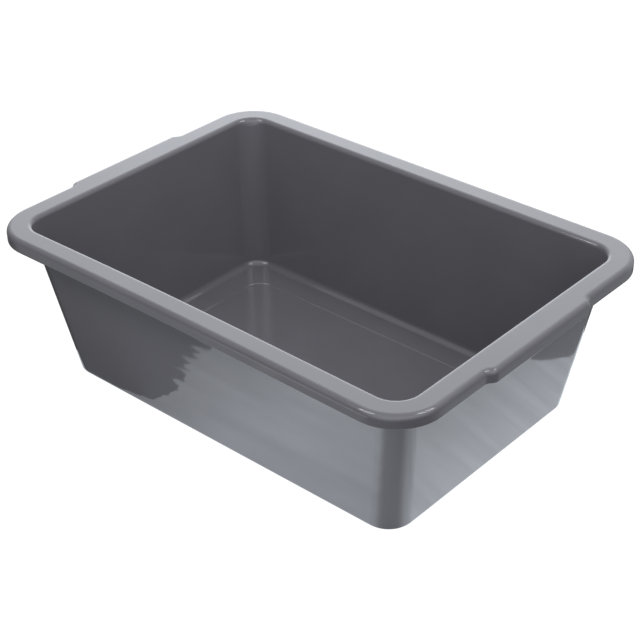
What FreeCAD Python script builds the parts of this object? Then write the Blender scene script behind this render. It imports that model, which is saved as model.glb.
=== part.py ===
import FreeCAD, Part
import math, os
import Sketcher

# A moulded plastic bus tub: one open shell with drafted walls, a flat rim whose edge is turned
# down into a skirt, and a handle swell in the rim at each short end. Millimetres and degrees.
# The origin is under the middle of the tub, on the surface it stands on. X runs along the long
# sides, Y across the tub and Z up.

SIZES = {
    # The mouth is the opening between the inner edges of the rim.
    "mouth_length": 488.0,
    "mouth_width": 336.2,
    "mouth_rounding": 5.0,
    "height": 174.0,
    # The walls lean out by their draft, in degrees from upright.
    "end_draft": 8.9,
    "side_draft": 8.65,
    "foot_rounding": 5.0,
    "wall": 2.8,
    "inside_corner": 24.4,
    "floor_thickness": 3.0,
    "floor_rounding": 8.0,
    # The rim is measured from the mouth's edge to the outside of the skirt.
    "rim_width": 25.8,
    "rim_thickness": 2.8,
    "rim_rounding": 5.4,
    "skirt_depth": 13.8,
    "skirt_thickness": 2.4,
    "skirt_edge_bevel": 0.6,
    "channel_rounding": 2.6,
    # A handle swell is the straight middle of its bulge and the two arcs of each of its ends.
    "handle_width": 139.6,
    "handle_swell": 5.6,
    "handle_arc": 9.0,
    # The middle panel of the floor lies a step below the border that is left round it.
    "floor_border": 32.5,
    "panel_corner": 20.0,
    "panel_drop": 0.9,
    "panel_edge_rounding": 0.6,
    "panel_underside_bevel": 0.5,
}

CLOSE = 0.02         # how near two levels, lengths or cosines count as the same
START, END = 1, 2    # the ends of a line or an arc
ORIGIN = -1          # the sketch's own origin, whose point is its START


def make_sheet(doc):
    """The driving dimensions, one row each."""
    sheet = doc.addObject("Spreadsheet::Sheet", "sizes")
    for row, (name, number) in enumerate(SIZES.items(), start=1):
        sheet.set("A%d" % row, name.replace("_", " "))
        sheet.set("B%d" % row, str(number))
        sheet.setAlias("B%d" % row, name)
    doc.recompute()
    return sheet


def new_sketch(body, name, level):
    """An empty level sketch at a height given by an expression."""
    sketch = body.newObject("Sketcher::SketchObject", name)
    plane = [item for item in body.Origin.OriginFeatures if item.Role == "XY_Plane"][0]
    sketch.AttachmentSupport = [(plane, "")]
    sketch.MapMode = "FlatFace"
    sketch.setExpression("AttachmentOffset.Base.z", level)
    return sketch


def line(start, end):
    """One straight piece of an outline, with the points where the outline enters and leaves it."""
    points = [FreeCAD.Vector(x, y, 0) for x, y in (start, end)]
    return Part.LineSegment(*points), START, END


def arc(centre, radius, first, last):
    """One round piece of an outline, from one direction to another, in degrees."""
    circle = Part.Circle(FreeCAD.Vector(centre[0], centre[1], 0), FreeCAD.Vector(0, 0, 1), radius)
    low, high = sorted((math.radians(first), math.radians(last)))
    ends = (START, END) if first < last else (END, START)
    return (Part.ArcOfCircle(circle, low, high),) + ends


def draw_outline(sketch, pieces):
    """Adds the pieces of a closed outline in order, each running smoothly into the next."""
    numbers = [sketch.addGeometry(geometry, False) for geometry, enter, leave in pieces]
    for place in range(len(pieces)):
        following = (place + 1) % len(pieces)
        leave, enter = pieces[place][2], pieces[following][1]
        joint = (numbers[place], leave, numbers[following], enter)
        sketch.addConstraint(Sketcher.Constraint("Tangent", *joint))
    return numbers


def set_distance(sketch, axis, number, point, side, expression):
    """Holds a point at a distance from the origin, on its positive or negative side."""
    drawn = sketch.getPoint(number, point)
    distance = abs(drawn.x if axis == "X" else drawn.y)
    ends = (ORIGIN, START, number, point) if side > 0 else (number, point, ORIGIN, START)
    place = sketch.addConstraint(Sketcher.Constraint("Distance" + axis, *ends, distance))
    sketch.setExpression("Constraints[%d]" % place, expression)


def set_radius(sketch, numbers, expression):
    """Gives one radius to several arcs."""
    drawn = sketch.Geometry[numbers[0]].Radius
    place = sketch.addConstraint(Sketcher.Constraint("Radius", numbers[0], drawn))
    sketch.setExpression("Constraints[%d]" % place, expression)
    for number in numbers[1:]:
        sketch.addConstraint(Sketcher.Constraint("Equal", numbers[0], number))


def hold_rectangle(sketch, sides, length, width):
    """Holds the four sides of a rectangle square to the axes and even about the origin."""
    near, right, far, left = sides
    for number in (near, far):
        sketch.addConstraint(Sketcher.Constraint("Horizontal", number))
    for number in (right, left):
        sketch.addConstraint(Sketcher.Constraint("Vertical", number))
    set_distance(sketch, "X", right, START, 1, "(%s) / 2" % length)
    set_distance(sketch, "X", left, START, -1, "(%s) / 2" % length)
    set_distance(sketch, "Y", far, START, 1, "(%s) / 2" % width)
    set_distance(sketch, "Y", near, START, -1, "(%s) / 2" % width)


def rectangle(body, name, level, length, width):
    """A rectangle with sharp corners about the origin. Level and sizes are expressions."""
    sketch = new_sketch(body, name, level)
    x, y = SIZES["mouth_length"] / 2, SIZES["mouth_width"] / 2
    corners = [(-x, -y), (x, -y), (x, y), (-x, y)]
    sides = []
    for start, end in zip(corners, corners[1:] + corners[:1]):
        sides.append(sketch.addGeometry(line(start, end)[0], False))
    for side, following in zip(sides, sides[1:] + sides[:1]):
        sketch.addConstraint(Sketcher.Constraint("Coincident", side, END, following, START))
    hold_rectangle(sketch, sides, length, width)
    return sketch


def rounded_rectangle(body, name, level, length, width, corner):
    """A rectangle with round corners about the origin. Level and sizes are expressions."""
    sketch = new_sketch(body, name, level)
    x, y, r = SIZES["mouth_length"] / 2, SIZES["mouth_width"] / 2, SIZES["inside_corner"]
    numbers = draw_outline(sketch, [
        line((-x + r, -y), (x - r, -y)),
        arc((x - r, -y + r), r, -90, 0),
        line((x, -y + r), (x, y - r)),
        arc((x - r, y - r), r, 0, 90),
        line((x - r, y), (-x + r, y)),
        arc((-x + r, y - r), r, 90, 180),
        line((-x, y - r), (-x, -y + r)),
        arc((-x + r, -y + r), r, 180, 270),
    ])
    set_radius(sketch, numbers[1::2], corner)
    hold_rectangle(sketch, numbers[0::2], length, width)
    return sketch


def end_pieces(x, y, r, side):
    """One short end of the rim, between its two corners: flush, out to the handle and back.

    x and y are half sizes of the rim, r is its corner radius, and side is 1 or -1 along X.
    """
    half, bulge, bend = SIZES["handle_width"] / 2, SIZES["handle_swell"], SIZES["handle_arc"]
    turn = math.degrees(math.acos(1 - bulge / (2 * bend)))
    step = 2 * bend * math.sin(math.radians(turn))
    flush, proud = side * x, side * (x + bulge)
    outer, inner = side * (x + bend), side * (x + bulge - bend)
    base = 0 if side > 0 else 180
    low, high = -side * (half + step), side * (half + step)
    return [
        line((flush, side * (-y + r)), (flush, low)),
        arc((outer, low), bend, base + 180, base + 180 - turn),
        arc((inner, -side * half), bend, base - turn, base),
        line((proud, -side * half), (proud, side * half)),
        arc((inner, side * half), bend, base, base + turn),
        arc((outer, high), bend, base + 180 + turn, base + 180),
        line((flush, high), (flush, side * (y - r))),
    ]


def draw_rim(sketch, inset):
    """Adds the outline of the rim's outside to a sketch, set in by an expression."""
    x = SIZES["mouth_length"] / 2 + SIZES["rim_width"]
    y = SIZES["mouth_width"] / 2 + SIZES["rim_width"]
    r = SIZES["inside_corner"] + SIZES["rim_width"]
    numbers = draw_outline(sketch, [
        line((-x + r, -y), (x - r, -y)),
        arc((x - r, -y + r), r, -90, 0),
        *end_pieces(x, y, r, 1),
        arc((x - r, y - r), r, 0, 90),
        line((x - r, y), (-x + r, y)),
        arc((-x + r, y - r), r, 90, 180),
        *end_pieces(x, y, r, -1),
        arc((-x + r, -y + r), r, 180, 270),
    ])
    near, right, far, left = numbers[0], numbers[2:9], numbers[10], numbers[12:19]
    corners = [numbers[1], numbers[9], numbers[11], numbers[19]]
    half_length = "sizes.mouth_length / 2 + sizes.rim_width - %s" % inset
    half_width = "sizes.mouth_width / 2 + sizes.rim_width - %s" % inset
    set_radius(sketch, corners, "sizes.inside_corner + sizes.rim_width - %s" % inset)
    for number, side in ((near, -1), (far, 1)):
        sketch.addConstraint(Sketcher.Constraint("Horizontal", number))
        set_distance(sketch, "Y", number, START, side, half_width)
    for end, side in ((right, 1), (left, -1)):
        first_flush, first_hollow, first_round, grip, last_round, last_hollow, last_flush = end
        for number in (first_flush, grip, last_flush):
            sketch.addConstraint(Sketcher.Constraint("Vertical", number))
        for number in (first_flush, last_flush):
            set_distance(sketch, "X", number, START, side, half_length)
        set_distance(sketch, "X", grip, START, side, half_length + " + sizes.handle_swell")
        set_distance(sketch, "Y", grip, START, -side, "sizes.handle_width / 2")
        set_distance(sketch, "Y", grip, END, side, "sizes.handle_width / 2")
        set_radius(sketch, [first_hollow, last_hollow], "sizes.handle_arc + %s" % inset)
        set_radius(sketch, [first_round, last_round], "sizes.handle_arc - %s" % inset)


def edges_between(shape, low, high, frame, within):
    """Names of the edges that reach exactly from one level to another.

    With a frame of half a length and half a width, only those within it or those outside it.
    """
    names = []
    for number, edge in enumerate(shape.Edges, start=1):
        box = edge.BoundBox
        spans = abs(box.ZMin - low) < CLOSE and abs(box.ZMax - high) < CLOSE
        half_length, half_width = max(-box.XMin, box.XMax), max(-box.YMin, box.YMax)
        held = frame is None or (half_length < frame[0] and half_width < frame[1]) == within
        if spans and held:
            names.append("Edge%d" % number)
    return names


def round_edges(body, name, radius, low, high, frame=None, within=True):
    """Rounds the edges between two levels of all that the body holds so far."""
    body.Document.recompute()
    base = body.Tip
    fillet = body.newObject("PartDesign::Fillet", name)
    fillet.Base = (base, edges_between(base.Shape, low, high, frame, within))
    fillet.setExpression("Radius", radius)
    return fillet


def bevel_edges(body, name, size, level):
    """Takes the sharpness off all edges at a level."""
    body.Document.recompute()
    base = body.Tip
    chamfer = body.newObject("PartDesign::Chamfer", name)
    chamfer.Base = (base, edges_between(base.Shape, level, level, None, True))
    chamfer.setExpression("Size", size)
    return chamfer


def pad(body, name, sketch, length):
    """Adds material upwards from a sketch."""
    feature = body.newObject("PartDesign::Pad", name)
    feature.Profile = sketch
    feature.setExpression("Length", length)
    return feature


def pocket(body, name, sketch, depth):
    """Takes material away below a sketch."""
    feature = body.newObject("PartDesign::Pocket", name)
    feature.Profile = sketch
    feature.setExpression("Length", depth)
    return feature


def slant_walls(body, name, axis, reach, pivot, angle, outside):
    """Drafts the pair of walls square to an axis, turning them about the flat face at a level.

    The outsides of the walls are turned to look down and their insides to look up.
    """
    body.Document.recompute()
    base = body.Tip
    walls, neutral = [], []
    for number, face in enumerate(base.Shape.Faces, start=1):
        middle, normal = face.CenterOfGravity, face.normalAt(0, 0)
        if abs(normal.z) > 1 - CLOSE and abs(middle.z - pivot) < CLOSE:
            neutral.append("Face%d" % number)
        elif abs(normal.dot(axis)) > 1 - CLOSE and abs(abs(middle.dot(axis)) - reach) < CLOSE:
            walls.append("Face%d" % number)
    draft = body.newObject("PartDesign::Draft", name)
    draft.Base = (base, walls)
    draft.NeutralPlane = (base, neutral[:1])
    draft.Reversed = outside
    draft.setExpression("Angle", angle)
    return draft


def make_tub(doc):
    """The whole tub, moulded in one piece."""
    body = doc.addObject("PartDesign::Body", "tub")
    body.Label = "tub"
    body.Placement = FreeCAD.Placement()
    top = SIZES["height"]
    rim_under = top - SIZES["rim_thickness"]
    skirt_end = top - SIZES["skirt_depth"]
    foot = SIZES["panel_drop"]
    border = foot + SIZES["floor_thickness"]
    half_length, half_width = SIZES["mouth_length"] / 2, SIZES["mouth_width"] / 2
    wall = SIZES["wall"]
    along, across = FreeCAD.Vector(1, 0, 0), FreeCAD.Vector(0, 1, 0)
    end_lean = (top - border) * math.tan(math.radians(SIZES["end_draft"]))
    side_lean = (top - border) * math.tan(math.radians(SIZES["side_draft"]))
    floor_half_length, floor_half_width = half_length - end_lean, half_width - side_lean

    # The outside of the walls is a block that narrows towards the foot.
    shoulder = rectangle(body, "shoulder_plan", "sizes.panel_drop",
                         "sizes.mouth_length + 2 * sizes.wall",
                         "sizes.mouth_width + 2 * sizes.wall")
    pad(body, "wall_block", shoulder, "sizes.height - sizes.panel_drop")
    slant_walls(body, "end_slope", along, half_length + wall, top, "sizes.end_draft", True)
    slant_walls(body, "side_slope", across, half_width + wall, top, "sizes.side_draft", True)

    # The rim is a flat plate with a skirt under its edge, open below.
    plate = new_sketch(body, "rim_plan", "sizes.height - sizes.rim_thickness")
    draw_rim(plate, "0")
    pad(body, "rim_plate", plate, "sizes.rim_thickness")
    ring = new_sketch(body, "skirt_plan", "sizes.height - sizes.skirt_depth")
    draw_rim(ring, "0")
    draw_rim(ring, "sizes.skirt_thickness")
    pad(body, "skirt", ring, "sizes.skirt_depth")

    # The inside follows the outside at one wall's distance, down to the border of the floor.
    depth = "sizes.height - sizes.panel_drop - sizes.floor_thickness"
    floor_length = "sizes.mouth_length - 2 * (%s) * tan(sizes.end_draft * 1 deg)" % depth
    floor_width = "sizes.mouth_width - 2 * (%s) * tan(sizes.side_draft * 1 deg)" % depth
    floor_plan = rectangle(body, "floor_plan", "sizes.height", floor_length, floor_width)
    pocket(body, "inside", floor_plan, depth)
    slant_walls(body, "inside_end_slope", along, floor_half_length, border,
                "sizes.end_draft", False)
    slant_walls(body, "inside_side_slope", across, floor_half_width, border,
                "sizes.side_draft", False)

    # Rounded corners and edges, those of the walls before those of the rim.
    shoulder_frame = (half_length + wall, half_width + wall)
    round_edges(body, "inside_corners", "sizes.inside_corner", border, top)
    round_edges(body, "outside_corners", "sizes.inside_corner + sizes.wall", foot, rim_under)
    round_edges(body, "floor_edge", "sizes.floor_rounding", border, border)
    round_edges(body, "foot_edge", "sizes.foot_rounding", foot, foot)
    round_edges(body, "mouth_edge", "sizes.mouth_rounding", top, top, shoulder_frame)
    round_edges(body, "rim_upper_edge", "sizes.rim_rounding", top, top, shoulder_frame, False)
    round_edges(body, "channel_corners", "sizes.channel_rounding", rim_under, rim_under)
    bevel_edges(body, "skirt_edge", "sizes.skirt_edge_bevel", skirt_end)

    # The middle panel is set down by one step, inside and underneath, at an even thickness.
    panel_length = floor_length + " - 2 * sizes.floor_border"
    panel_width = floor_width + " - 2 * sizes.floor_border"
    step = rounded_rectangle(body, "step_plan", "0",
                             panel_length + " + 2 * sizes.floor_thickness",
                             panel_width + " + 2 * sizes.floor_thickness",
                             "sizes.panel_corner + sizes.floor_thickness")
    pad(body, "panel_underside", step, "sizes.panel_drop")
    bevel_edges(body, "panel_lower_edge", "sizes.panel_underside_bevel", 0)
    panel = rounded_rectangle(body, "panel_plan", "sizes.panel_drop + sizes.floor_thickness",
                              panel_length, panel_width, "sizes.panel_corner")
    pocket(body, "panel_recess", panel, "sizes.panel_drop")
    panel_frame = (floor_half_length - SIZES["floor_border"] + CLOSE,
                   floor_half_width - SIZES["floor_border"] + CLOSE)
    round_edges(body, "panel_upper_edge", "sizes.panel_edge_rounding", border, border, panel_frame)
    return body


def check_features(doc):
    """Stops if an object failed, or if a feature changed the volume the wrong way."""
    doc.recompute()
    for item in doc.Objects:
        if "Invalid" in item.State or "Error" in item.State:
            raise RuntimeError("%s failed: %s" % (item.Name, item.State))
    for item in doc.Objects:
        if item.TypeId not in ("PartDesign::Pad", "PartDesign::Pocket"):
            continue
        before = item.BaseFeature.Shape.Volume if item.BaseFeature else 0.0
        change = item.Shape.Volume - before
        if (item.TypeId == "PartDesign::Pocket") != (change < 0):
            raise RuntimeError("%s changed the volume by %.1f" % (item.Name, change))


def export(bodies):
    """Writes each sub-part that holds one valid solid."""
    os.makedirs("parts", exist_ok=True)
    for body in bodies:
        shape = body.Shape
        if shape.isNull() or not shape.isValid() or len(shape.Solids) != 1:
            raise RuntimeError("%s isn't one valid solid" % body.Label)
        shape.exportStep("parts/%s.step" % body.Label)
        box = shape.optimalBoundingBox()
        print("%s: %.1f x %.1f x %.1f mm, %.0f mm3" % (
            body.Label, box.XLength, box.YLength, box.ZLength, shape.Volume))


document = FreeCAD.newDocument("bus_tub")
make_sheet(document)
tub = make_tub(document)
check_features(document)
export([tub])
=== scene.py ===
import math
import random

import bpy
import numpy as np
from mathutils import Matrix, Vector


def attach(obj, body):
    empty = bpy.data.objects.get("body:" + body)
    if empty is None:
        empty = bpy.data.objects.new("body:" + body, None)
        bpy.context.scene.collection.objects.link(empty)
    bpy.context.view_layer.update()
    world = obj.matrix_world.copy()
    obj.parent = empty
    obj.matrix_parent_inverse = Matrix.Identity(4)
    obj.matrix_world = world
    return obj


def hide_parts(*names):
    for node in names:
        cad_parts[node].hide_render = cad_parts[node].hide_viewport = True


# A grey moulded bus tub in a plain white studio. The tub is one piece: a dense skin of rings that
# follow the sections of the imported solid, with the slight bow and ripple that moulding leaves.
# The mesh code works in millimetres and degrees; MM turns lengths into the metres of the frame.

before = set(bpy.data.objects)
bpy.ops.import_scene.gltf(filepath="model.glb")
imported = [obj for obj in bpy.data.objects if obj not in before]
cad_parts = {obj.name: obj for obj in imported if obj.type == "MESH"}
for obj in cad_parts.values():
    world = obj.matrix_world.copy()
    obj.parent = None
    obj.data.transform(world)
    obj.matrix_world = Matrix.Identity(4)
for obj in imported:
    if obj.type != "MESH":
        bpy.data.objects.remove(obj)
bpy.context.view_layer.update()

MM = 0.001

# The tub's sizes, the same as those of the solid.
HEIGHT = 174.0
MOUTH = (244.0, 168.1)      # half length and half width between the inner edges of the rim
DRAFT = (8.9, 8.65)         # lean of the end walls and of the side walls
MEAN_DRAFT = math.radians(8.8)
WALL = 2.8
INSIDE_CORNER = 24.4
FLOOR = 3.0
FLOOR_ROUNDING = 8.0
FOOT_ROUNDING = 5.0
MOUTH_ROUNDING = 5.0
RIM_WIDTH = 25.8
RIM_THICKNESS = 2.8
RIM_ROUNDING = 5.4
SKIRT_DEPTH = 13.8
SKIRT_THICKNESS = 2.4
SKIRT_BEVEL = 0.9
CHANNEL_ROUNDING = 2.6
HANDLE_HALF = 69.8
HANDLE_SWELL = 5.6
HANDLE_ARC = 9.0
FLOOR_BORDER = 32.5
PANEL_CORNER = 20.0
PANEL_DROP = 0.9
STEP_ROUNDING = 0.9
PANEL_BEVEL = 0.5
BORDER_LEVEL = PANEL_DROP + FLOOR
RIM_UNDER = HEIGHT - RIM_THICKNESS
SKIRT_END = HEIGHT - SKIRT_DEPTH

# Moulding leaves the near long side bowed inwards, by this much at this place along the rim, and
# the front right corner a little rounder at the foot.
NEAR_BOW = 2.6
BOW_MIDDLE = -40.0
FOOT_CORNER = 1.0

# The plastic's colours, and the scales of its mottle, scuffs, ripples and grain.
PLASTIC_IOR = 1.5
BASE_DARK = (0.0768, 0.0730, 0.0792, 1)
BASE_LIGHT = (0.0832, 0.0790, 0.0858, 1)
MOTTLE_SCALE = 14
SCUFF_SCALE = 30
RIPPLE_SCALE = (15, 15, 70)
RIPPLE_HEIGHT = 0.00003
GRAIN_SCALE = 900

# How finely each outline is divided.
SIDE_STEPS = 56
CORNER_STEPS = 20
FLUSH_STEPS = 8
BEND_STEPS = 5
GRIP_STEPS = 16


# Outlines seen from above

def handle_bend():
    """Angle of the two arcs at each end of a handle, and how far the pair runs across the tub."""
    turn = math.acos(1 - HANDLE_SWELL / (2 * HANDLE_ARC))
    return turn, 2 * HANDLE_ARC * math.sin(turn)


def end_fractions():
    """Places along a short end, from -1 to 1, close together where the handle bends."""
    turn, reach = handle_bend()
    straight = MOUTH[1] - INSIDE_CORNER
    sines = HANDLE_ARC * np.sin(np.linspace(0, turn, BEND_STEPS + 1))
    half = np.concatenate([
        np.linspace(0, HANDLE_HALF, GRIP_STEPS // 2 + 1),
        HANDLE_HALF + sines[1:],
        HANDLE_HALF + reach - sines[-2::-1],
        np.linspace(HANDLE_HALF + reach, straight, FLUSH_STEPS + 1)[1:],
    ]) / straight
    return np.concatenate([-half[:0:-1], half])


def swell(y):
    """How far the rim's end stands out at a place across the tub."""
    turn, reach = handle_bend()
    past = abs(y) - HANDLE_HALF
    if past <= 0:
        return HANDLE_SWELL
    if past >= reach:
        return 0.0
    if past <= reach / 2:
        return HANDLE_SWELL - HANDLE_ARC + math.sqrt(HANDLE_ARC ** 2 - past ** 2)
    return HANDLE_ARC - math.sqrt(HANDLE_ARC ** 2 - (reach - past) ** 2)


SIDE_FRACTIONS = np.linspace(-1, 1, SIDE_STEPS + 1)
END_FRACTIONS = end_fractions()


def outline(half_length, half_width, corner):
    """Points and outward directions round a rectangle with round corners, anticlockwise."""
    points, normals = [], []
    straight = (half_length - corner, half_width - corner)
    for quarter in range(4):
        along = np.array([(1, 0), (0, 1), (-1, 0), (0, -1)][quarter], float)
        out = np.array([along[1], -along[0]])
        run, reach = ((straight[0], half_width) if quarter % 2 == 0
                      else (straight[1], half_length))
        for f in (SIDE_FRACTIONS if quarter % 2 == 0 else END_FRACTIONS):
            points.append(along * f * run + out * reach)
            normals.append(out)
        for step in range(1, CORNER_STEPS):
            a = math.pi / 2 * step / CORNER_STEPS
            turned = out * math.cos(a) + along * math.sin(a)
            points.append(along * run + out * (reach - corner) + turned * corner)
            normals.append(turned)
    return np.array(points), np.array(normals)


def rim_ring(inset, level):
    """A ring that follows the rim's outer outline with its handles, set in by a distance."""
    points, normals = outline(*(size + RIM_WIDTH for size in MOUTH), INSIDE_CORNER + RIM_WIDTH)
    for i, (x, y) in enumerate(points):
        if abs(normals[i][1]) < 1e-9:
            side = math.copysign(1, x)
            slope = (swell(y + 0.01) - swell(y - 0.01)) / 0.02
            facing = np.array((side, -slope))
            normals[i] = facing / np.linalg.norm(facing)
            points[i][0] += side * swell(y)
    points = points - normals * inset
    return np.column_stack([points, np.full(len(points), level)])


def inside_half(level):
    """Half length and half width between the walls' inside faces at a level."""
    return [half - (HEIGHT - level) * math.tan(math.radians(angle))
            for half, angle in zip(MOUTH, DRAFT)]


def wall_ring(out, level, at, corner=None):
    """A ring that follows the walls, out from where their inside faces stand at the level `at`."""
    points, _ = outline(*(half + out for half in inside_half(at)),
                        INSIDE_CORNER + out if corner is None else corner)
    return np.column_stack([points, np.full(len(points), level)])


def foot_ring(out, level, at, share):
    """A ring of the walls' outside, whose front right corner has a share of the extra rounding."""
    corner = INSIDE_CORNER + out
    plain = wall_ring(out, level, at, corner)
    rounder = wall_ring(out, level, at, corner + FOOT_CORNER * share)
    front_right = (plain[:, 0] > 0) & (plain[:, 1] < 0)
    return np.where(front_right[:, None], rounder, plain)


# The skin, ring by ring

def floor_rings():
    """The panel from its middle out, its rounded step, the border and the hollow to the walls."""
    rings = []
    for grow in (-12, -4, -1.2, -0.4, 0):
        rings.append(wall_ring(grow - FLOOR_BORDER, FLOOR, BORDER_LEVEL, PANEL_CORNER + grow))
    for a in np.radians((12, 24, 36, 48, 60)):
        grow, rise = STEP_ROUNDING * math.sin(a), STEP_ROUNDING * (1 - math.cos(a))
        rings.append(wall_ring(grow - FLOOR_BORDER, FLOOR + rise, BORDER_LEVEL,
                               PANEL_CORNER + grow))
    for a in np.radians((48, 36, 24, 12, 0)):
        grow = STEP_ROUNDING * (2 * math.sin(math.pi / 3) - math.sin(a))
        rise = PANEL_DROP - STEP_ROUNDING * (1 - math.cos(a))
        rings.append(wall_ring(grow - FLOOR_BORDER, FLOOR + rise, BORDER_LEVEL,
                               PANEL_CORNER + grow))
    clear = FLOOR_ROUNDING / math.cos(MEAN_DRAFT)
    for out in (-30.4, -29, -26, -20, -14, -10.5, -9, -8.4):
        share = (out + FLOOR_BORDER) / (FLOOR_BORDER - clear)
        corner = PANEL_CORNER + share * (INSIDE_CORNER - clear - PANEL_CORNER)
        rings.append(wall_ring(out, BORDER_LEVEL, BORDER_LEVEL, corner))
    centre = BORDER_LEVEL + FLOOR_ROUNDING
    for a in np.linspace(0, math.pi / 2 - MEAN_DRAFT, 11):
        rings.append(wall_ring(FLOOR_ROUNDING * math.sin(a) - clear,
                               centre - FLOOR_ROUNDING * math.cos(a), centre))
    return rings


def inside_rings():
    """The inside of the walls and the rounded edge of the mouth."""
    foot = BORDER_LEVEL + FLOOR_ROUNDING * (1 - math.sin(MEAN_DRAFT))
    edge = HEIGHT - MOUTH_ROUNDING * (1 - math.sin(MEAN_DRAFT))
    levels = np.concatenate([[foot + 0.5], np.linspace(foot + 5, edge - 5, 22), [edge - 0.4]])
    rings = [wall_ring(0, level, level) for level in levels]
    centre = MOUTH_ROUNDING * (1 / math.cos(MEAN_DRAFT) - math.tan(MEAN_DRAFT))
    for a in np.linspace(math.pi / 2 - MEAN_DRAFT, 0, 8):
        rings.append(wall_ring(centre - MOUTH_ROUNDING * math.sin(a),
                               HEIGHT - MOUTH_ROUNDING * (1 - math.cos(a)), HEIGHT))
    return rings


def rim_rings():
    """The flat of the rim, its rounded edge, the skirt and the channel behind it."""
    rings = [wall_ring(out, HEIGHT, HEIGHT) for out in (5.1, 6.2, 8.5, 11.5)]
    rings.append((rings[-1] + rim_ring(8.0, HEIGHT)) / 2)
    rings += [rim_ring(inset, HEIGHT) for inset in (8.0, RIM_ROUNDING + 0.4)]
    for a in np.linspace(0, math.pi / 2, 10):
        rings.append(rim_ring(RIM_ROUNDING * (1 - math.sin(a)),
                              HEIGHT - RIM_ROUNDING * (1 - math.cos(a))))
    for level in (168.2, 165.5, 162.8, SKIRT_END + SKIRT_BEVEL + 0.4, SKIRT_END + SKIRT_BEVEL):
        rings.append(rim_ring(0, level))
    for a in np.linspace(0, math.pi / 2, 5)[1:]:
        rings.append(rim_ring(SKIRT_BEVEL * (1 - math.cos(a)),
                              SKIRT_END + SKIRT_BEVEL * (1 - math.sin(a))))
    rings.append(rim_ring(SKIRT_THICKNESS - 0.6, SKIRT_END))
    for level in (SKIRT_END + 0.6, SKIRT_END + 1.0, 165.0,
                  RIM_UNDER - CHANNEL_ROUNDING - 0.3):
        rings.append(rim_ring(SKIRT_THICKNESS, level))
    for a in np.linspace(0, math.pi / 2, 5):
        rings.append(rim_ring(SKIRT_THICKNESS + CHANNEL_ROUNDING * (1 - math.cos(a)),
                              RIM_UNDER - CHANNEL_ROUNDING * (1 - math.sin(a))))
    rings.append(rim_ring(SKIRT_THICKNESS + CHANNEL_ROUNDING + 1.0, RIM_UNDER))
    centre = WALL + CHANNEL_ROUNDING * (1 / math.cos(MEAN_DRAFT) - math.tan(MEAN_DRAFT))
    rings.append(wall_ring(centre + 1.0, RIM_UNDER, RIM_UNDER))
    for a in np.linspace(math.pi / 2, MEAN_DRAFT, 5):
        rings.append(wall_ring(centre - CHANNEL_ROUNDING * math.cos(a),
                               RIM_UNDER - CHANNEL_ROUNDING * (1 - math.sin(a)), RIM_UNDER))
    return rings


def outside_rings():
    """The outside of the walls, the rounded foot and the underside with its middle step."""
    top = RIM_UNDER - CHANNEL_ROUNDING * (1 - math.sin(MEAN_DRAFT))
    foot = PANEL_DROP + FOOT_ROUNDING * (1 - math.sin(MEAN_DRAFT))
    levels = np.concatenate([[top - 0.4], np.linspace(top - 5, foot + 5, 24), [foot + 0.5]])
    rings = [foot_ring(WALL, level, level, 1 - level / HEIGHT) for level in levels]
    centre = PANEL_DROP + FOOT_ROUNDING
    for a in np.linspace(MEAN_DRAFT, math.pi / 2, 9):
        out = WALL + FOOT_ROUNDING * (math.cos(a) - 1 / math.cos(MEAN_DRAFT))
        rings.append(foot_ring(out, centre - FOOT_ROUNDING * math.sin(a), centre, 1))
    for out in (-3.2, -12, -22):
        rings.append(wall_ring(out, PANEL_DROP, BORDER_LEVEL, 22.5))
    step, corner = FLOOR - FLOOR_BORDER, PANEL_CORNER + FLOOR
    for inset, level in ((-0.5, PANEL_DROP), (0, PANEL_DROP), (0, PANEL_BEVEL),
                         (PANEL_BEVEL, 0), (PANEL_BEVEL + 0.5, 0), (6, 0), (14, 0)):
        rings.append(wall_ring(step - inset, level, BORDER_LEVEL, corner - inset))
    return rings


def grid_sides(ring, first):
    """A ring as the four sides of a grid, and the grid's numbers with only its edge filled in."""
    half, long, short = CORNER_STEPS // 2, SIDE_STEPS + CORNER_STEPS, len(END_FRACTIONS) - 1
    short += CORNER_STEPS
    count = len(ring)
    order = [(i - half) % count for i in range(count)]
    side = ring[order]
    near, right = side[:long + 1], side[long:long + short + 1]
    far = side[long + short:2 * long + short + 1][::-1]
    left = np.concatenate([side[2 * long + short:], side[:1]])[::-1]
    numbers = -np.ones((long + 1, short + 1), int)
    numbers[:, 0] = [first + order[i] for i in range(long + 1)]
    numbers[long, :] = [first + order[long + j] for j in range(short + 1)]
    numbers[:, short] = [first + order[2 * long + short - i] for i in range(long + 1)]
    numbers[0, :] = [first + order[(count - j) % count] for j in range(short + 1)]
    return near, right, far, left, numbers


def close(ring, first, following, upward):
    """New points inside a ring, numbered from `following`, and the faces of the grid."""
    near, right, far, left, numbers = grid_sides(ring, first)
    long, short = numbers.shape[0] - 1, numbers.shape[1] - 1
    points, faces = [], []
    for i in range(1, long):
        u = i / long
        for j in range(1, short):
            v = j / short
            numbers[i, j] = following + len(points)
            points.append((1 - v) * near[i] + v * far[i] + (1 - u) * left[j] + u * right[j]
                          - (1 - u) * (1 - v) * near[0] - u * (1 - v) * near[-1]
                          - (1 - u) * v * far[0] - u * v * far[-1])
    for i in range(long):
        for j in range(short):
            face = [numbers[i, j], numbers[i + 1, j], numbers[i + 1, j + 1], numbers[i, j + 1]]
            faces.append(face if upward else face[::-1])
    return points, faces


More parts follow.
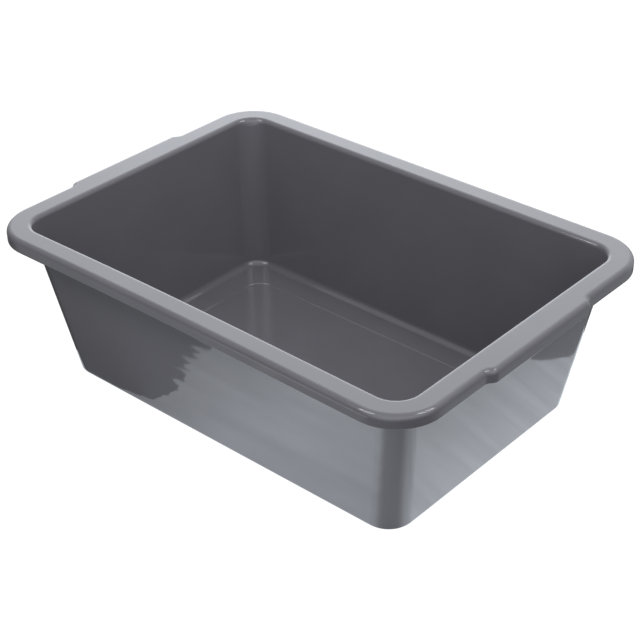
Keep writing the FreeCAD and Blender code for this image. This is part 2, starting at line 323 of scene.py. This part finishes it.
def bow(points):
    """The pull inwards that moulding leaves in the near long side, deepest at the rim."""
    moved = points.copy()
    x, y, z = (points[:, i] for i in range(3))
    reach = np.where(x > BOW_MIDDLE, MOUTH[0] - BOW_MIDDLE, MOUTH[0] + BOW_MIDDLE)
    along = np.clip(1 - ((x - BOW_MIDDLE) / reach) ** 2, 0, 1) ** 1.5
    across = np.clip(-y / MOUTH[1], 0, 1) ** 3
    moved[:, 1] += NEAR_BOW * along * across * np.clip(z / HEIGHT, 0, 1) ** 2
    return moved


def make_tub():
    """The whole skin as one closed mesh."""
    rings = floor_rings() + inside_rings() + rim_rings() + outside_rings()
    count = len(rings[0])
    points = list(np.concatenate(rings))
    faces = []
    for k in range(len(rings) - 1):
        for i in range(count):
            j = (i + 1) % count
            faces.append((k * count + i, (k + 1) * count + i, (k + 1) * count + j, k * count + j))
    for ring, first, upward in ((rings[0], 0, True), (rings[-1], (len(rings) - 1) * count, False)):
        more, grid = close(ring, first, len(points), upward)
        points += more
        faces += grid
    points = bow(np.array(points))
    mesh = bpy.data.meshes.new("tub_skin")
    mesh.from_pydata([tuple(p * MM) for p in points], [], faces)
    mesh.validate()
    mesh.update()
    for polygon in mesh.polygons:
        polygon.use_smooth = True
    tub = bpy.data.objects.new("tub_skin", mesh)
    bpy.context.scene.collection.objects.link(tub)
    weighted = tub.modifiers.new("even_shading", "WEIGHTED_NORMAL")
    weighted.mode = "FACE_AREA"
    weighted.weight = 60
    return tub


# Materials

def new_material(name):
    """An empty node material and its tree."""
    material = bpy.data.materials.new(name)
    material.use_nodes = True
    tree = material.node_tree
    tree.nodes.clear()
    return material, tree


def set_range(node, source, target):
    """Let a Map Range node turn one span of values into another."""
    for socket, value in zip(("From Min", "From Max", "To Min", "To Max"), source + target):
        node.inputs[socket].default_value = value


def plastic(name, roughness, scuff, grain):
    """Grey moulded polyethylene, with a faint mottle, light scuffs, ripples and a fine grain."""
    material, tree = new_material(name)
    new, link = tree.nodes.new, tree.links.new
    output, shader = new("ShaderNodeOutputMaterial"), new("ShaderNodeBsdfPrincipled")
    link(shader.outputs["BSDF"], output.inputs["Surface"])
    shader.inputs["IOR"].default_value = PLASTIC_IOR
    place = new("ShaderNodeTexCoord")

    def noise(scale, detail, stretch=(1, 1, 1)):
        mapping, texture = new("ShaderNodeMapping"), new("ShaderNodeTexNoise")
        mapping.inputs["Scale"].default_value = stretch
        texture.inputs["Scale"].default_value = scale
        texture.inputs["Detail"].default_value = detail
        link(place.outputs["Object"], mapping.inputs["Vector"])
        link(mapping.outputs["Vector"], texture.inputs["Vector"])
        return texture.outputs["Fac"]

    ramp = new("ShaderNodeValToRGB")
    ramp.color_ramp.elements[0].position = 0.3
    ramp.color_ramp.elements[0].color = BASE_DARK
    ramp.color_ramp.elements[1].position = 0.7
    ramp.color_ramp.elements[1].color = BASE_LIGHT
    link(noise(MOTTLE_SCALE, 5), ramp.inputs["Fac"])
    link(ramp.outputs["Color"], shader.inputs["Base Color"])

    wear = new("ShaderNodeMapRange")
    set_range(wear, (0.5, 0.72), (roughness, roughness + scuff))
    link(noise(SCUFF_SCALE, 4, (1, 1, 0.5)), wear.inputs["Value"])
    link(wear.outputs["Result"], shader.inputs["Roughness"])

    ripple = new("ShaderNodeBump")
    ripple.inputs["Strength"].default_value = 1.0
    ripple.inputs["Distance"].default_value = RIPPLE_HEIGHT
    link(noise(1, 1, RIPPLE_SCALE), ripple.inputs["Height"])
    fine = new("ShaderNodeBump")
    fine.inputs["Strength"].default_value = 1.0
    fine.inputs["Distance"].default_value = grain
    link(noise(GRAIN_SCALE, 2), fine.inputs["Height"])
    link(ripple.outputs["Normal"], fine.inputs["Normal"])
    link(fine.outputs["Normal"], shader.inputs["Normal"])
    return material


tub = make_tub()
tub.data.materials.append(plastic("moulded_plastic", 0.07, 0.03, 0.000001))
tub.data.materials.append(plastic("moulded_panel", 0.15, 0.05, 0.000004))
panel_half = [half - FLOOR_BORDER for half in inside_half(BORDER_LEVEL)]
for polygon in tub.data.polygons:
    x, y, z = (abs(v) / MM for v in polygon.center)
    if x < panel_half[0] and y < panel_half[1] and abs(z - FLOOR) < PANEL_DROP / 3:
        polygon.material_index = 1
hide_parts("tub")
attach(tub, "root")


# The studio

def emitter(name, strength, tint=(1, 1, 1)):
    """A plain glowing material for a card."""
    material, tree = new_material(name)
    output, glow = tree.nodes.new("ShaderNodeOutputMaterial"), tree.nodes.new("ShaderNodeEmission")
    glow.inputs["Color"].default_value = (*tint, 1)
    glow.inputs["Strength"].default_value = strength
    tree.links.new(glow.outputs["Emission"], output.inputs["Surface"])
    return material


def add_stage(name, points, material):
    """One flat piece of the studio, which isn't part of the object."""
    mesh = bpy.data.meshes.new(name)
    mesh.from_pydata(points, [], [list(range(len(points)))])
    mesh.materials.append(material)
    piece = bpy.data.objects.new(name, mesh)
    bpy.context.scene.collection.objects.link(piece)
    return piece


def direction(azimuth, elevation):
    """A unit vector: azimuth from +X towards +Y, elevation above the floor, in degrees."""
    a, e = math.radians(azimuth), math.radians(elevation)
    return Vector((math.cos(a) * math.cos(e), math.sin(a) * math.cos(e), math.sin(e)))


def add_softbox(name, azimuth, elevation, distance, size, radiance, gloss_only=False):
    """A square area light that looks at the tub and either lights it or only shows in its gloss."""
    light = bpy.data.lights.new(name, "AREA")
    light.shape = "SQUARE"
    light.size = size
    light.energy = radiance * math.pi * size ** 2
    lamp = bpy.data.objects.new(name, light)
    lamp.visible_diffuse = not gloss_only
    lamp.visible_glossy = gloss_only
    bpy.context.scene.collection.objects.link(lamp)
    back = direction(azimuth, elevation)
    lamp.location = Vector((0, 0, 0.1)) + back * distance
    lamp.rotation_mode = "QUATERNION"
    lamp.rotation_quaternion = back.to_track_quat("Z", "Y")
    lamp.visible_camera = False
    return lamp


def make_world(lobes):
    """Soft light from all round: the sum of smooth lobes about the directions given."""
    world = bpy.data.worlds.new("studio")
    bpy.context.scene.world = world
    world.use_nodes = True
    tree = world.node_tree
    tree.nodes.clear()
    new, link = tree.nodes.new, tree.links.new
    output, sky = new("ShaderNodeOutputWorld"), new("ShaderNodeBackground")
    place = new("ShaderNodeTexCoord")
    total = None
    for azimuth, elevation, sharpness, strength in lobes:
        toward, fall = new("ShaderNodeVectorMath"), new("ShaderNodeMath")
        power, add = new("ShaderNodeMath"), new("ShaderNodeMath")
        toward.operation, fall.operation = "DOT_PRODUCT", "MULTIPLY_ADD"
        power.operation, add.operation = "EXPONENT", "MULTIPLY_ADD"
        toward.inputs[1].default_value = direction(azimuth, elevation)
        fall.inputs[1].default_value, fall.inputs[2].default_value = sharpness, -sharpness
        add.inputs[1].default_value, add.inputs[2].default_value = strength, 0
        link(place.outputs["Generated"], toward.inputs[0])
        link(toward.outputs["Value"], fall.inputs[0])
        link(fall.outputs["Value"], power.inputs[0])
        link(power.outputs["Value"], add.inputs[0])
        if total:
            link(total, add.inputs[2])
        total = add.outputs["Value"]
    link(total, sky.inputs["Strength"])
    sky.inputs["Color"].default_value = SKY_TINT
    link(sky.outputs["Background"], output.inputs["Surface"])


# The sky's tint, and the azimuth, elevation, sharpness and strength of each lobe.
SKY_TINT = (0.94, 0.985, 1.04, 1)
SKY_LOBES = [
    (-72, 2, 8, 1), (72, 2, 8, 0.7), (144, 2, 8, 0.6), (131, 16, 20, 1.9), (-162, 32, 8, 0.15),
    (-126, 32, 8, 0.2), (-90, 32, 8, 1), (-54, 32, 8, 0.9), (-18, 32, 8, 1.3),
    (18, 32, 8, 0.7), (90, 32, 8, 0.7), (126, 32, 8, 1.2), (162, 32, 8, 0.5),
    (-108, 62, 8, 0.6), (-36, 62, 8, 0.2), (36, 62, 8, 0.4), (108, 62, 8, 0.5), (0, 90, 8, 0.25),
    (-128, -26, 20, 0.8), (-120, -60, 6, 0.1), (56, -38, 12, 0.4),
]
make_world(SKY_LOBES)

FLOOR_REACH = 12
FLOOR_LEVEL = -0.0002
ground = add_stage("floor", [(x * FLOOR_REACH, y * FLOOR_REACH, FLOOR_LEVEL)
                             for x, y in ((-1, -1), (1, -1), (1, 1), (-1, 1))],
                   emitter("floor_white", 1.1))
ground.visible_glossy = False
ground.visible_diffuse = False

# Light from the table round the tub's foot, hidden from the camera; it shows in the gloss of the
# walls and lights them too.
TABLE_EDGE = [
    (-240, -146), (-149, -148), (-138, -150), (-123, -151), (-111, -153), (-103, -158),
    (-100, -163), (-94, -167), (-93, -175), (-89, -177), (-94, -183), (-108, -187), (-92, -190),
    (-98, -199), (-118, -202), (-95, -205), (-112, -209), (-105, -214), (-124, -219),
    (-102, -223), (-116, -228), (-106, -232), (-126, -236), (-103, -240), (-100, -262), (-98, -300),
    (400, -300), (400, 157), (280, 157), (273, 164), (267, 174),
    (262, 186), (257, 195), (255, 205), (254, 262), (-240, 262)]


def fray(points, count):
    """The outline with a small uneven spike in the middle of each of its first stretches."""
    chance = random.Random(3)
    frayed = []
    for i, point in enumerate(points):
        frayed.append(point)
        if 1 <= i <= count:
            x, y = ((a + b) / 2 for a, b in zip(point, points[i + 1]))
            frayed.append((x - chance.uniform(-3, 3.5), y + chance.uniform(-1, 1)))
    return frayed


# How the table's glow varies: along it, from its near edge inwards, in streaks, and in a dim
# wedge that opens away from the tub at its near right corner.
TABLE_TINT = (0.915, 0.985, 1.05, 1)
TABLE_STRENGTH = 2.2
TABLE_ALONG = (1, 0.6, 0)
TABLE_SPAN = (-0.26, 0.40)
TABLE_LEVELS = ((0, 0.49), (1, 0.84), (0.3, 0.88), (0.71, 1))
NEAR_EDGE = (-0.245, -0.155)
NEAR_LEVELS = (1.22, 0.75)
STREAK_TURN = 0.35
STREAK_SCALE = (7, 60, 1)
STREAK_LEVELS = (0.9, 1.1)
WEDGE_TIP = (0.1996, -0.1253, 0)
WEDGE_AZIMUTH = -48
WEDGE_COSINES = (0.6, 0.94)
WEDGE_SHARE = 0.42


def table_light():
    """The table's glow: weaker at its left end, streaky, and dim in a wedge by the near corner."""
    material, tree = new_material("table_light")
    new, link = tree.nodes.new, tree.links.new
    output, glow = new("ShaderNodeOutputMaterial"), new("ShaderNodeEmission")
    place, along = new("ShaderNodeTexCoord"), new("ShaderNodeVectorMath")
    span, ramp = new("ShaderNodeMapRange"), new("ShaderNodeValToRGB")
    stretch, streaks, streak = (new("ShaderNodeMapping"), new("ShaderNodeTexNoise"),
                                new("ShaderNodeMapRange"))
    parts, near, level = (new("ShaderNodeSeparateXYZ"), new("ShaderNodeMapRange"),
                          new("ShaderNodeMath"))
    away, toward, turned = (new("ShaderNodeVectorMath") for _ in range(3))
    wedge, product, total = new("ShaderNodeMapRange"), new("ShaderNodeMath"), new("ShaderNodeMath")
    glow.inputs["Color"].default_value = TABLE_TINT
    along.operation = "DOT_PRODUCT"
    along.inputs[1].default_value = TABLE_ALONG
    set_range(span, TABLE_SPAN, (0, 1))
    ramp.color_ramp.interpolation = "EASE"
    stops = ramp.color_ramp.elements
    for i, (position, share) in enumerate(TABLE_LEVELS):
        stop = stops[i] if i < 2 else stops.new(position)
        stop.color = (share, share, share, 1)
    set_range(near, NEAR_EDGE, NEAR_LEVELS)
    level.operation = "MULTIPLY"
    stretch.inputs["Rotation"].default_value = (0, 0, STREAK_TURN)
    stretch.inputs["Scale"].default_value = STREAK_SCALE
    streaks.inputs["Scale"].default_value, streaks.inputs["Detail"].default_value = 1, 3
    set_range(streak, (0.3, 0.7), STREAK_LEVELS)
    wedge.interpolation_type = "SMOOTHSTEP"
    set_range(wedge, WEDGE_COSINES, (TABLE_STRENGTH, TABLE_STRENGTH * WEDGE_SHARE))
    away.operation, toward.operation, turned.operation = "SUBTRACT", "NORMALIZE", "DOT_PRODUCT"
    away.inputs[1].default_value = WEDGE_TIP
    turned.inputs[1].default_value = direction(WEDGE_AZIMUTH, 0)
    product.operation = total.operation = "MULTIPLY"
    link(place.outputs["Object"], along.inputs[0])
    link(along.outputs["Value"], span.inputs["Value"])
    link(span.outputs["Result"], ramp.inputs["Fac"])
    link(place.outputs["Object"], stretch.inputs["Vector"])
    link(stretch.outputs["Vector"], streaks.inputs["Vector"])
    link(streaks.outputs["Fac"], streak.inputs["Value"])
    link(place.outputs["Object"], away.inputs[0])
    link(away.outputs["Vector"], toward.inputs[0])
    link(toward.outputs["Vector"], turned.inputs[0])
    link(turned.outputs["Value"], wedge.inputs["Value"])
    link(place.outputs["Object"], parts.inputs["Vector"])
    link(parts.outputs["Y"], near.inputs["Value"])
    link(ramp.outputs["Color"], level.inputs[0])
    link(near.outputs["Result"], level.inputs[1])
    link(level.outputs["Value"], product.inputs[0])
    link(streak.outputs["Result"], product.inputs[1])
    link(product.outputs["Value"], total.inputs[0])
    link(wedge.outputs["Result"], total.inputs[1])
    link(total.outputs["Value"], glow.inputs["Strength"])
    link(glow.outputs["Emission"], output.inputs["Surface"])
    return material


FRAYED_STRETCHES = 24
table = add_stage("table_glow",
                  [(x * MM, y * MM, 0) for x, y in fray(TABLE_EDGE, FRAYED_STRETCHES)],
                  table_light())
table.visible_camera = False
table.visible_shadow = False

# A low card in front of the near side, seen only in the gloss of its skirt and walls.
LOW_TOWARD = (-111, -20)
LOW_DISTANCE = 1.6
LOW_HALF = (0.42, 0.24)
low = direction(*LOW_TOWARD) * LOW_DISTANCE
side = Vector((-low.y, low.x, 0)).normalized() * LOW_HALF[0]
rise = Vector((0, 0, LOW_HALF[1]))
low_glow = add_stage("low_glow", [low - side - rise, low + side - rise,
                                  low + side + rise, low - side + rise],
                     emitter("low_light", 1.5))
low_glow.visible_camera = False
low_glow.visible_shadow = False
low_glow.visible_diffuse = False

# Two lamps, each as a pair: one gives the soft light, the other shows in the gloss.
KEY_RIGHT = (23.7, 53.6, 1.87)      # azimuth, elevation and distance
KEY_LEFT = (-110.5, 51.5, 1.92)
KEY_SIZE, GLEAM_SIZE = 0.4, 0.6
KEY_RADIANCE = (28.0, 22.0)
GLEAM_RADIANCE = 14.0
add_softbox("key_right", *KEY_RIGHT, KEY_SIZE, KEY_RADIANCE[0])
add_softbox("key_left", *KEY_LEFT, KEY_SIZE, KEY_RADIANCE[1])
add_softbox("gleam_right", *KEY_RIGHT, GLEAM_SIZE, GLEAM_RADIANCE, gloss_only=True)
add_softbox("gleam_left", *KEY_LEFT, GLEAM_SIZE, GLEAM_RADIANCE, gloss_only=True)


# The camera

AZIMUTH, ELEVATION, ROLL = 41.66, 32.354, -0.865
DISTANCE = 1.6003
TARGET = Vector((-0.0003, 0.0080, 0.0734))
FOCAL_PIXELS = 1559.22
PHOTO_PIXELS = 640


def make_camera():
    """The camera at the photograph's viewing angle, with its slight roll."""
    a, e, roll = (math.radians(v) for v in (AZIMUTH, ELEVATION, ROLL))
    back = Vector((math.sin(a) * math.cos(e), -math.cos(a) * math.cos(e), math.sin(e)))
    right = (-back).cross(Vector((0, 0, 1))).normalized()
    up = right.cross(-back)
    right, up = (right * math.cos(roll) + up * math.sin(roll),
                 up * math.cos(roll) - right * math.sin(roll))
    lens = bpy.data.cameras.new("camera")
    lens.sensor_width = 36.0
    lens.lens = FOCAL_PIXELS / PHOTO_PIXELS * lens.sensor_width
    lens.clip_start, lens.clip_end = 0.05, 60
    camera = bpy.data.objects.new("camera", lens)
    bpy.context.scene.collection.objects.link(camera)
    turn = Matrix((right, up, back)).transposed().to_4x4()
    camera.matrix_world = Matrix.Translation(TARGET + back * DISTANCE) @ turn
    bpy.context.scene.camera = camera


make_camera()

scene = bpy.context.scene
scene.view_settings.view_transform = "Standard"
scene.view_settings.look = "None"
scene.cycles.use_denoising = True
scene.cycles.max_bounces = 12
